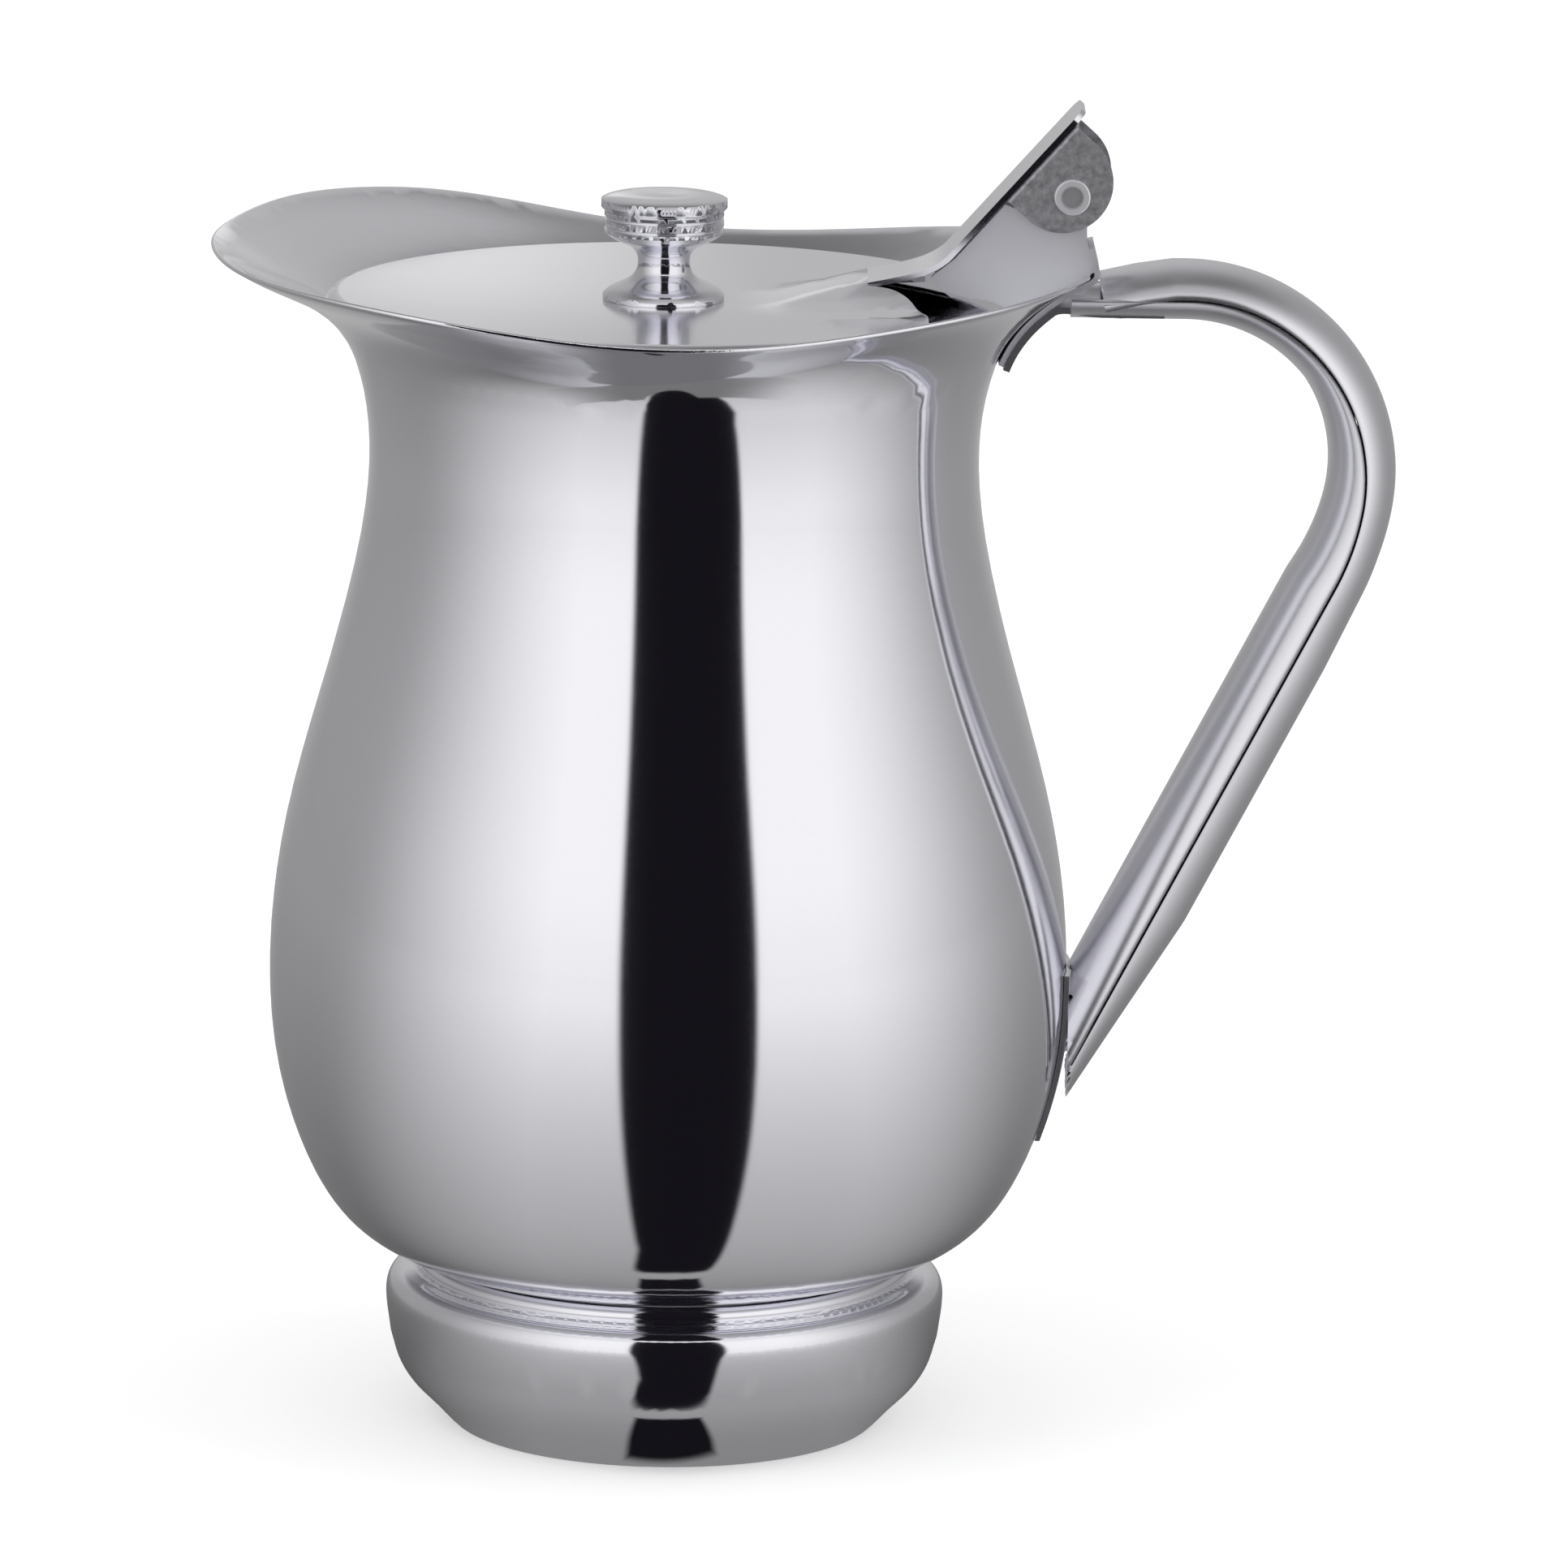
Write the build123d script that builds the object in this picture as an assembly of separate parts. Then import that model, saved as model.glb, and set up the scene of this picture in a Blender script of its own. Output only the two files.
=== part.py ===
from build123d import *
import math
import os

os.makedirs("parts", exist_ok=True)

# Frame: the origin is the centre of the foot's resting circle, +Z is up,
# the spout points along -X and the handle along +X. Millimetres throughout.

# Sheet thicknesses
BODY_SHEET = 0.8
FOOT_SHEET = 0.9
LID_SHEET = 1.0
HINGE_SHEET = 1.1
HANDLE_SHEET = 0.9
TAB_SHEET = 1.0

# Body: a round bottom, a full belly, a waisted neck and a flared mouth
FLOOR_Z = 30.6
FLOOR_RADIUS = 39.5
BELLY_POINTS = [(57.9, 38.1), (66.4, 51.0), (71.5, 68.4), (72.75, 86.0), (69.5, 113.8), (63.4, 136.8),
                (57.5, 160.0), (55.2, 180.5)]
NECK_TOP = (57.9, 196.6)
NECK_TOP_LEAN = 19.0
FLOOR_RISE = 6.0

# Rim of the flare: plan angle from the handle side, reach from the axis, height
RIM_POINTS = [(0, 74.9, 213.5), (20, 75.0, 214.2), (40, 74.6, 213.5), (60, 70.3, 211.0),
              (80, 69.6, 209.3), (100, 74.6, 210.4), (120, 86.6, 214.9), (140, 88.8, 217.1),
              (160, 85.0, 217.1), (180, 83.7, 217.2)]
RIM_SECTIONS = 20
RIM_LEAN = 62.0
SPOUT_LEAN = 58.0

# Foot: a hollow pressed ring with a rolled neck bead
FOOT_REST_RADIUS = 38.3
FOOT_CURL = 1.1
FOOT_CURL_EXIT = -50.0
FOOT_FLAT = 0.15
FOOT_LOWER_POINTS = [(42.6, 3.8), (46.4, 7.6), (49.0, 11.8)]
FOOT_WAIST = (50.3, 16.2)
FOOT_WAIST_SLOPE = 72.0
FOOT_UPPER_SLOPE = 84.0
FOOT_UPPER_POINTS = [(51.1, 22.4), (50.1, 26.8), (48.2, 27.8), (46.4, 27.8)]
FOOT_GROOVE = (45.0, 28.2)
FOOT_GROOVE_SLOPE = 160.0
BEAD_RADIUS = 43.4
BEAD_TUBE = 1.9
BEAD_Z = 29.1

# Lid: a dished panel with a rolled shoulder that drops inside the flare
LID_CENTRE_X = -2.3
LID_RADIUS = 61.2
LID_RIM_Z = 208.9
LID_DISH = 1.3
LID_SHOULDER = 2.5
LID_REACH = 66.0
PANEL_STEPS = 32
PANEL_REACH = 0.01

# Rise of the lid towards its thumb lever, and the notches cut beside the lever's root
RISE_START_X = 10.0
RISE_END_X = 36.0
RISE_HEIGHT = 4.6
RISE_HALF = 8.5
RISE_FADE = 26.0
NOTCH_ROOT = (34.5, 9.3)
NOTCH_POINTS = [(40.5, 13.0), (43.8, 20.0)]
NOTCH_END = (45.3, 42.0)
NOTCH_ROOT_SLOPE = 0.5

# Thumb lever, a strip of the lid's own sheet
LEVER_WIDTH = 17.0
LEVER_ANGLE = 48.3
LEVER_BEND_END = -22.6
LEVER_TIP = 12.6
LEVER_CORNER = 3.0

# Knob and its fixing
KNOB_BASE_RADIUS = 11.0
KNOB_WAIST_RADIUS = 4.7
KNOB_BOWL_RADIUS = 9.8
KNOB_BAND_RADIUS = 10.8
KNOB_CAP_RADIUS = 11.4
KNOB_BASE_EDGE = 0.9
KNOB_WAIST_HEIGHT = 6.9
KNOB_BOWL_HEIGHT = 11.5
KNOB_BAND_HEIGHT = 12.2
KNOB_CAP_HEIGHT = 16.2
KNOB_HEIGHT = 19.1
KNOB_GROOVE = 0.3
KNOB_GROOVES = [13.2, 15.0]
KNOB_CAP_STEP = 0.6
KNOB_CAP_DOME = 0.8
KNOB_FOOT_SLOPE = 125.0
KNOB_BOWL_SLOPE = 40.0
KNOB_RIM_SLOPE = 150.0
SCREW_RADIUS = 2.0
SCREW_BORE_RADIUS = 2.04
SCREW_DEPTH = 9.0
SCREW_HEAD_RADIUS = 3.8
SCREW_HEAD_HEIGHT = 2.4
SCREW_SLOT = 1.0
SCREW_TIP_GAP = 0.5
WASHER_RADIUS = 6.5
WASHER_SHEET = 1.0

# Hinge pin, and its depth under the lever's top face
PIN_X = 71.0
PIN_Z = 228.5
PIN_DEPTH = 9.3
PIN_RADIUS = 2.0
PIN_TIGHT_GAP = 0.02
PIN_RUNNING_GAP = 0.08
PIN_HEAD_RADIUS = 3.25
PIN_HEAD_HEIGHT = 0.9
PIN_DIMPLE_RADIUS = 1.9
PIN_DIMPLE_DEPTH = 0.4
PIN_HEAD_ROUND = 0.3
PIN_SIDE_GAP = 0.05

# Saddle under the lever: a web and two D-shaped ears
EAR_START = -8.4
EAR_END = 9.8
EAR_ROUND = 9.1
EAR_ROUND_DEPTH = 6.3
SADDLE_BEND = 1.0

# Fixed bracket: two cheeks, a rear web and a tab that wraps the rim of the flare
CHEEK_GAP = 0.35
CHEEK_ROUND = 5.2
CHEEK_TOE = (45.9, 213.4)
CHEEK_LEVER_GAP = 1.5
CHEEK_SHOULDER = -9.2
CHEEK_STEP = (-8.8, 3.0)
CHEEK_NOSE_ANGLE = -55.0
CHEEK_NOSE_SLOPE = -105.0
CHEEK_FRONT = [(54.3, 209.5), (59.3, 207.9)]
CHEEK_SEAT = (0.03, 0.64)
WEB_TOP = (74.2, 218.8)
WEB_LOW = (75.25, 214.6)
TAB_START = 0.88
TAB_END = 0.04
SEAT_GAP = 0.06

# Handle: two pressed channels joined into one hollow strap
STRAP_WIDTH = 23.0
STRAP_SEAM_GAP = 0.5
STRAP_NEST = 1.6
STRAP_NEST_ROOT = 0.4
STRAP_TOP_Z = 210.3
STRAP_DIP = [(74.0, 207.2), (77.4, 207.9)]
STRAP_DIP_END_X = 90.0
STRAP_MOUTH_X = 81.0
STRAP_MOUTH_Z = 212.2
STRAP_CROWN_END_X = 77.2
STRAP_LIP_X = 71.0
STRAP_TOP_CENTRE_X = 92.0
STRAP_TOP_RADIUS = 32.8
STRAP_SHOULDER_ANGLE = 35.0
STRAP_SIDE_RADIUS = 48.3
STRAP_SIDE_START = 10.0
STRAP_RUN_SLOPE = 62.6
STRAP_GRIP_LENGTH = 58.0
STRAP_TAPER_LENGTH = 50.0
STRAP_CUT_X = 72.9
LOWER_END_BLOCK = (30.0, 30.0, 110.0)
STRAP_STEPS = 8

# Handle sections where the parts of the seam meet: depth, corner radius, crown
OUTER_TOP = (5.9, 3.8, 0.5)
OUTER_GRIP = (6.7, 4.0, 0.5)
OUTER_TIP = (1.9, 0.95, 0.2)
INNER_TOP = (4.8, 2.8, 0.1)
INNER_SHOULDER = (4.8, 2.8, 0.4)
INNER_BEND = (7.0, 3.6, 0.8)
INNER_GRIP = (8.3, 4.1, 0.9)
INNER_END = (8.0, 4.1, 0.9)

# Plates and rivet that carry the handle
TOP_PLATE_WIDTH = 15.0
TOP_PLATE_SHEET = 1.2
TOP_PLATE_START = 0.02
TOP_PLATE_LEAVE = 0.62
TOP_PLATE_FLAT_X = 77.0
TOP_PLATE_END_X = 88.0
RIVET_X = 80.2
RIVET_RADIUS = 1.9
RIVET_HEAD_RADIUS = 3.1
RIVET_HEAD_HEIGHT = 1.3
RIVET_HEAD_ROUND = 0.9
LOWER_PLATE_WIDTH = 19.0
LOWER_PLATE_SHEET = 0.9
LOWER_PLATE_TOP = 85.5
LOWER_PLATE_BOTTOM = 54.5

# Working sizes for the cutting blocks and sampled curves
FAR = 200.0
CURVE_POINTS = 15
WALL_POINTS = 24
FUSE_REACH = 0.005


def direction(angle):
    """Unit direction in the side view, angle in degrees from +X."""
    return math.cos(math.radians(angle)), math.sin(math.radians(angle))


def side(point, y=0.0):
    """A point of the side view, given as (x, z)."""
    return Vector(point[0], y, point[1])


def left_of(heading):
    """Side-view direction square to the left of a heading."""
    return Vector(-heading.Z, 0, heading.X)


def smooth(points, first, last):
    """Curve through points, with its headings at both ends."""
    return Spline(points, tangents=[first, last], tangent_scalars=[1.0, 1.0])


def parallel(edge, distance):
    """A curve of the side view at a distance to the left of another one."""
    count = {GeomType.LINE: 2, GeomType.CIRCLE: 3}.get(edge.geom_type, CURVE_POINTS)
    points = []
    for index in range(count):
        share = index / (count - 1)
        points.append(edge.position_at(share) + left_of(edge.tangent_at(share)) * distance)
    if edge.geom_type == GeomType.LINE:
        return Line(*points)
    if edge.geom_type == GeomType.CIRCLE:
        return ThreePointArc(*points)
    return smooth(points, edge.tangent_at(0), edge.tangent_at(1))


def section(*edges):
    """A flat face bounded by edges that join end to end."""
    return Face(Wire(edges))


def outline(points):
    """A flat side-view face with straight edges."""
    return Face(Wire.make_polygon([side(point) for point in points]))


def across(face, width):
    """Solid made from a side-view face, centred on the XZ plane."""
    return extrude(face, width / 2, dir=(0, 1, 0), both=True)


def strip(edges, thickness, width):
    """Sheet that follows side-view edges on their left, centred on the XZ plane."""
    pieces = []
    for edge in edges:
        other = parallel(edge, thickness)
        face = section(edge, Line(edge @ 1, other @ 1), other, Line(other @ 0, edge @ 0))
        pieces.append(across(face, width))
    whole = pieces[0]
    for piece in pieces[1:]:
        whole += piece
    return whole


def bore(x, z_low, z_high, radius):
    """Upright cylinder used for a hole or a shank."""
    return Pos(x, 0, (z_low + z_high) / 2) * Cylinder(radius, z_high - z_low)


def cross_bore(x, z, radius, length):
    """Cylinder along Y, centred on the XZ plane."""
    return Pos(x, 0, z) * Rot(90, 0, 0) * Cylinder(radius, length)


def belly_curve():
    """Outer profile of the body from its floor to the neck."""
    start = direction(FLOOR_RISE)
    end = direction(90 - NECK_TOP_LEAN)
    points = [side((FLOOR_RADIUS, FLOOR_Z))] + [side(point) for point in BELLY_POINTS]
    return smooth(points + [side(NECK_TOP)], side(start), side(end))


def neck_inner_radius():
    """Inner radius of the wall where the flare begins."""
    return NECK_TOP[0] - BODY_SHEET / math.cos(math.radians(NECK_TOP_LEAN))


def lower_body():
    """Floor, belly and neck as one turned sheet."""
    outer = belly_curve()
    inner_points = []
    for index in range(1, WALL_POINTS):
        heading = outer.tangent_at(index / WALL_POINTS)
        inner_points.append(outer.position_at(index / WALL_POINTS) + left_of(heading) * BODY_SHEET)
    start = side((FLOOR_RADIUS, FLOOR_Z + BODY_SHEET))
    finish = side((neck_inner_radius(), NECK_TOP[1]))
    inner = smooth([start] + inner_points + [finish], outer.tangent_at(0), outer.tangent_at(1))
    floor = Line((0, 0, FLOOR_Z), outer @ 0)
    top = Line(outer @ 1, finish)
    inside = Line(start, (0, 0, FLOOR_Z + BODY_SHEET))
    axis = Line(inside @ 1, floor @ 0)
    return revolve(section(floor, outer, top, inner, inside, axis), Axis.Z, 360)


def flare_curve(angle, reach, height):
    """Outer profile of the flare at a plan angle, from the neck to the rim."""
    share = max(0.0, -math.cos(math.radians(angle)))
    lean = RIM_LEAN + (SPOUT_LEAN - RIM_LEAN) * share
    tangents = [side(direction(90 - NECK_TOP_LEAN)), side(direction(90 - lean))]
    return Spline([side(NECK_TOP), side((reach, height))], tangents=tangents)


def flare_inner_curve(outer):
    """Inner profile of the flare, from the rim back to the neck."""
    lip = outer @ 1 + left_of(outer % 1) * BODY_SHEET
    root = side((neck_inner_radius(), NECK_TOP[1]))
    return Spline([lip, root], tangents=[(outer % 1) * -1, (outer % 0) * -1])


def flare_section(angle, reach, height):
    """Wall section of the flare in the upright plane at a plan angle."""
    outer = flare_curve(angle, reach, height)
    inner = flare_inner_curve(outer)
    crest = outer @ 1 + left_of(outer % 1) * (BODY_SHEET / 2) + (outer % 1) * (BODY_SHEET / 2)
    edge = ThreePointArc(outer @ 1, crest, inner @ 0)
    bottom = Line(inner @ 1, outer @ 0)
    return Wire([outer, edge, inner, bottom]).rotate(Axis.Z, angle)


def rim_stations():
    """Plan angle, reach and height of evenly spaced points of the rim on the +Y side."""
    points = [side((reach, height)).rotate(Axis.Z, angle) for angle, reach, height in RIM_POINTS]
    rim = smooth(points, (0, 1, 0), (0, -1, 0))
    stations = []
    for index in range(RIM_SECTIONS + 1):
        point = rim.position_at(index / RIM_SECTIONS)
        angle = math.degrees(math.atan2(abs(point.Y), point.X))
        stations.append((angle, math.hypot(point.X, point.Y), point.Z))
    return stations


def flare():
    """Saddle-shaped flare and spout: one half lofted through its upright sections, then mirrored."""
    stations = rim_stations()
    before = [(-angle, reach, height) for angle, reach, height in reversed(stations[1:3])]
    after = [(360 - angle, reach, height) for angle, reach, height in reversed(stations[-3:-1])]
    whole = Solid.make_loft([flare_section(*station) for station in before + stations + after])
    half = (whole & Pos(0, FAR, FAR) * Box(2 * FAR, 2 * FAR, 2 * FAR)).solids()[0]
    return half, half.mirror(Plane.XZ)


def jug_body():
    """Drawn pot with a flared mouth, one piece of sheet."""
    near, far = flare()
    return lower_body().solids()[0].fuse(near, far, tol=FUSE_REACH)


def foot_ring():
    """Pressed foot with a curled lower edge and a rolled bead under the pot."""
    curl_centre = (FOOT_REST_RADIUS, FOOT_CURL - FOOT_FLAT)
    curl_exit = side(curl_centre) + side(direction(FOOT_CURL_EXIT)) * FOOT_CURL
    lower = smooth([curl_exit] + [side(point) for point in FOOT_LOWER_POINTS] + [side(FOOT_WAIST)],
                   side(direction(FOOT_CURL_EXIT + 90)), side(direction(FOOT_WAIST_SLOPE)))
    upper = smooth([side(FOOT_WAIST)] + [side(point) for point in FOOT_UPPER_POINTS] + [side(FOOT_GROOVE)],
                   side(direction(FOOT_UPPER_SLOPE)), side(direction(FOOT_GROOVE_SLOPE)))
    ring = None
    for edge in (lower, upper):
        other = parallel(edge, FOOT_SHEET)
        band = revolve(section(edge, Line(edge @ 1, other @ 1), other, Line(other @ 0, edge @ 0)), Axis.Z, 360)
        ring = band if ring is None else ring + band
    curl = Pos(0, 0, FOOT_CURL - FOOT_FLAT) * Torus(FOOT_REST_RADIUS, FOOT_CURL)
    ring += curl - Pos(0, 0, -FAR / 2) * Box(FAR, FAR, FAR)
    ring += Pos(0, 0, BEAD_Z) * Torus(BEAD_RADIUS, BEAD_TUBE)
    return ring - Pos(0, 0, BEAD_Z) * Torus(BEAD_RADIUS, BEAD_TUBE - FOOT_SHEET)


def lid_height(x, y):
    """Top face of the lid: a shallow dish that rises towards the lever."""
    reach = math.hypot(x - LID_CENTRE_X, y) / (LID_RADIUS - LID_SHOULDER)
    run = max(0.0, (x - RISE_START_X) / (RISE_END_X - RISE_START_X))
    fade = min(1.0, max(0.0, (abs(y) - RISE_HALF) / (RISE_FADE - RISE_HALF)))
    rise = RISE_HEIGHT * run ** 2 * (2 - run) * (1 - fade) ** 2
    return LID_RIM_Z - LID_DISH + LID_DISH * reach ** 2 + rise


def lid_panel():
    """Dished middle of the lid, one shaped sheet."""
    steps = [2 * LID_REACH * index / PANEL_STEPS - LID_REACH for index in range(PANEL_STEPS + 1)]
    rows = [[Vector(x, y, lid_height(x, y)) for y in steps] for x in steps]
    top = Face.make_surface_from_array_of_points(rows, tol=PANEL_REACH)
    sheet = Solid.extrude(top, Vector(0, 0, -LID_SHEET))
    return sheet & bore(LID_CENTRE_X, 0, 2 * FAR, LID_RADIUS - LID_SHOULDER)


def lid_shoulder():
    """Rounded edge of the lid with its short skirt."""
    inner_x = LID_RADIUS - LID_SHOULDER
    centre = Vector(inner_x, 0, LID_RIM_Z - LID_SHOULDER)
    lower = LID_SHOULDER - LID_SHEET
    edges = []
    for radius in (LID_SHOULDER, lower):
        points = [centre + side(direction(angle)) * radius for angle in (90, 45, 0)]
        edges.append(ThreePointArc(*points))
    big, small = edges
    ring = revolve(section(big, Line(big @ 1, small @ 1), small, Line(small @ 0, big @ 0)), Axis.Z, 360)
    return Pos(LID_CENTRE_X, 0, 0) * ring


def lever_point(along, depth):
    """Side-view point from the pin: along the lever and down from its top face."""
    run = side(direction(LEVER_ANGLE))
    return side((PIN_X, PIN_Z)) + left_of(run) * (PIN_DEPTH - depth) + run * along


def lever():
    """Thumb lever: the lid's sheet carried back and bent up over the hinge."""
    root = side((NOTCH_ROOT[0], lid_height(NOTCH_ROOT[0], 0)))
    ahead = side((RISE_END_X, lid_height(RISE_END_X, 0))) - root
    tangents = [ahead.normalized(), side(direction(LEVER_ANGLE))]
    top = Spline([root, lever_point(LEVER_BEND_END, 0)], tangents=tangents)
    low = Spline([root - Vector(0, 0, LID_SHEET), lever_point(LEVER_BEND_END, LID_SHEET)], tangents=tangents)
    tip_top, tip_low = lever_point(LEVER_TIP, 0), lever_point(LEVER_TIP, LID_SHEET)
    face = section(top, Line(top @ 1, tip_top), Line(tip_top, tip_low), Line(tip_low, low @ 1),
                   low, Line(low @ 0, top @ 0))
    sheet = across(face, LEVER_WIDTH)
    tip = sheet.faces().sort_by(Axis.Z)[-1]
    corners = [edge for edge in tip.edges() if edge.length < LEVER_WIDTH / 2]
    return fillet(corners, LEVER_CORNER)


def rear_notch():
    """Space behind the lid's rear edge, cut away on both sides of the lever."""
    curves = []
    for way in (-1, 1):
        points = [(x, way * y) for x, y in [NOTCH_ROOT] + NOTCH_POINTS + [NOTCH_END]]
        curves.append(Spline(points, tangents=[(1, way * NOTCH_ROOT_SLOPE), (0, way)]))
    near, far = curves
    root = Line(near @ 0, far @ 0)
    rear = Polyline(far @ 1, (FAR, NOTCH_END[1]), (FAR, -NOTCH_END[1]), near @ 1)
    return extrude(make_face([near, root, far, *rear.edges()]), 2 * FAR, both=True)


def lid():
    """Lid panel, shoulder and lever in one sheet, with the screw hole of the knob."""
    notch = rear_notch()
    panel = (lid_panel() - notch).solids()[0]
    shoulder = (lid_shoulder() - notch).solids()[0]
    plate = panel.fuse(shoulder, lever().solids()[0], tol=FUSE_REACH)
    return plate - bore(LID_CENTRE_X, 0, 2 * FAR, SCREW_BORE_RADIUS)


def knob_seat():
    """Height of the knob's lower face."""
    return lid_height(LID_CENTRE_X + KNOB_BASE_RADIUS, 0) + SEAT_GAP / 2


def lid_knob():
    """Turned knob: a conical foot, a waist, a bowl and a grooved band under its cap."""
    foot = (KNOB_BASE_RADIUS, KNOB_BASE_EDGE)
    waist = (KNOB_WAIST_RADIUS, KNOB_WAIST_HEIGHT)
    bowl = (KNOB_BOWL_RADIUS, KNOB_BOWL_HEIGHT)
    band_low = (KNOB_BAND_RADIUS, KNOB_BAND_HEIGHT)
    band_high = (KNOB_BAND_RADIUS, KNOB_CAP_HEIGHT)
    cap = (KNOB_CAP_RADIUS, KNOB_CAP_HEIGHT + KNOB_CAP_STEP)
    cap_top = (KNOB_CAP_RADIUS, KNOB_HEIGHT - KNOB_CAP_DOME)
    edges = [
        Line(side((0, 0)), side((KNOB_BASE_RADIUS, 0))),
        Line(side((KNOB_BASE_RADIUS, 0)), side(foot)),
        Spline([side(foot), side(waist)], tangents=[side(direction(KNOB_FOOT_SLOPE)), side((0, 1))]),
        Spline([side(waist), side(bowl)], tangents=[side((0, 1)), side(direction(KNOB_BOWL_SLOPE))]),
        Line(side(bowl), side(band_low)),
        Line(side(band_low), side(band_high)),
        Line(side(band_high), side(cap)),
        Line(side(cap), side(cap_top)),
        Spline([side(cap_top), side((0, KNOB_HEIGHT))], tangents=[side(direction(KNOB_RIM_SLOPE)), side((-1, 0))]),
        Line(side((0, KNOB_HEIGHT)), side((0, 0))),
    ]
    knob = revolve(section(*edges), Axis.Z, 360)
    for height in KNOB_GROOVES:
        knob -= Pos(0, 0, height) * Torus(KNOB_BAND_RADIUS, KNOB_GROOVE)
    knob = Pos(LID_CENTRE_X, 0, knob_seat()) * knob
    return knob - bore(LID_CENTRE_X, 0, knob_seat() + SCREW_DEPTH, SCREW_BORE_RADIUS)


def underside():
    """Height of the lid's lower face at the knob."""
    return LID_RIM_Z - LID_DISH - LID_SHEET


def knob_washer():
    """Flat washer under the lid."""
    top = underside() - SEAT_GAP / 2
    return (bore(LID_CENTRE_X, top - WASHER_SHEET, top, WASHER_RADIUS)
            - bore(LID_CENTRE_X, 0, top, SCREW_BORE_RADIUS))


def knob_screw():
    """Slotted screw that holds the knob from below."""
    seat = underside() - WASHER_SHEET - SEAT_GAP
    shank = bore(LID_CENTRE_X, seat, knob_seat() + SCREW_DEPTH - SCREW_TIP_GAP, SCREW_RADIUS)
    screw = shank + bore(LID_CENTRE_X, seat - SCREW_HEAD_HEIGHT, seat, SCREW_HEAD_RADIUS)
    slot_depth = SCREW_HEAD_HEIGHT / 2
    slot = Pos(LID_CENTRE_X, 0, seat - SCREW_HEAD_HEIGHT) * Box(SCREW_SLOT, FAR, slot_depth)
    return screw - slot


def ear_face(depth):
    """Side-view D outline of the saddle, starting at a depth under the lever's top face."""
    middle = (EAR_START + EAR_END) / 2
    start, end = lever_point(EAR_START, depth), lever_point(EAR_END, depth)
    left, right = lever_point(EAR_START, EAR_ROUND_DEPTH), lever_point(EAR_END, EAR_ROUND_DEPTH)
    round_end = ThreePointArc(left, lever_point(middle, EAR_ROUND_DEPTH + EAR_ROUND), right)
    return section(Line(start, left), round_end, Line(right, end), Line(end, start))


def hinge_saddle():
    """Folded saddle: a web under the lever and an ear on each side of the bracket."""
    block = across(ear_face(LID_SHEET), LEVER_WIDTH)
    folds = block.faces().sort_by(Axis(lever_point(0, 0), left_of(side(direction(LEVER_ANGLE)))))[-1]
    long_edges = [edge for edge in folds.edges() if abs(edge.center().Y) > LEVER_WIDTH / 4]
    block = fillet(long_edges, SADDLE_BEND)
    low = LID_SHEET + HINGE_SHEET
    corners = [lever_point(along, depth) for along, depth in ((-FAR, low), (FAR, low), (FAR, FAR), (-FAR, FAR))]
    hollow = across(Face(Wire.make_polygon(corners)), LEVER_WIDTH - 2 * HINGE_SHEET)
    return block - hollow - cross_bore(PIN_X, PIN_Z, PIN_RADIUS + PIN_TIGHT_GAP, FAR)


def hinge_pin():
    """Headed pin with a shallow dimple in each head."""
    head_y = LEVER_WIDTH / 2 + PIN_SIDE_GAP
    pin = cross_bore(PIN_X, PIN_Z, PIN_RADIUS, 2 * head_y)
    for way in (-1, 1):
        head = Rot(90, 0, 0) * Cylinder(PIN_HEAD_RADIUS, PIN_HEAD_HEIGHT)
        dimple = Rot(90, 0, 0) * Cylinder(PIN_DIMPLE_RADIUS, PIN_DIMPLE_DEPTH)
        outer = head_y + PIN_HEAD_HEIGHT
        pin += Pos(PIN_X, way * (head_y + PIN_HEAD_HEIGHT / 2), PIN_Z) * head
        pin -= Pos(PIN_X, way * (outer - PIN_DIMPLE_DEPTH / 2), PIN_Z) * dimple
    rims = pin.edges().filter_by(GeomType.CIRCLE)
    rims = [edge for edge in rims if abs(edge.radius - PIN_HEAD_RADIUS) < FUSE_REACH]
    rims = [edge for edge in rims if abs(edge.center().Y) > head_y + PIN_HEAD_HEIGHT / 2]
    return fillet(rims, PIN_HEAD_ROUND)


def rear_flare(y):
    """Outer and inner flare profiles at the handle side, as they cut the plane at a given Y."""
    outer = flare_curve(*RIM_POINTS[0])
    curves = []
    for curve in (outer, flare_inner_curve(outer)):
        points = []
        for index in range(CURVE_POINTS):
            place = curve.position_at(index / (CURVE_POINTS - 1))
            points.append(side((math.sqrt(place.X ** 2 - y ** 2), place.Z)))
        curves.append(Spline(points))
    return curves


def piece(curve, start, end):
    """Part of a side-view curve between two shares of its length."""
    points = []
    for index in range(CURVE_POINTS):
        points.append(curve.position_at(start + (end - start) * index / (CURVE_POINTS - 1)))
    way = 1 if end > start else -1
    return smooth(points, (curve % start) * way, (curve % end) * way)


def cheek_width():
    """Distance over the outer faces of the two cheeks."""
    return LEVER_WIDTH - 2 * HINGE_SHEET - 2 * CHEEK_GAP


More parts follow.
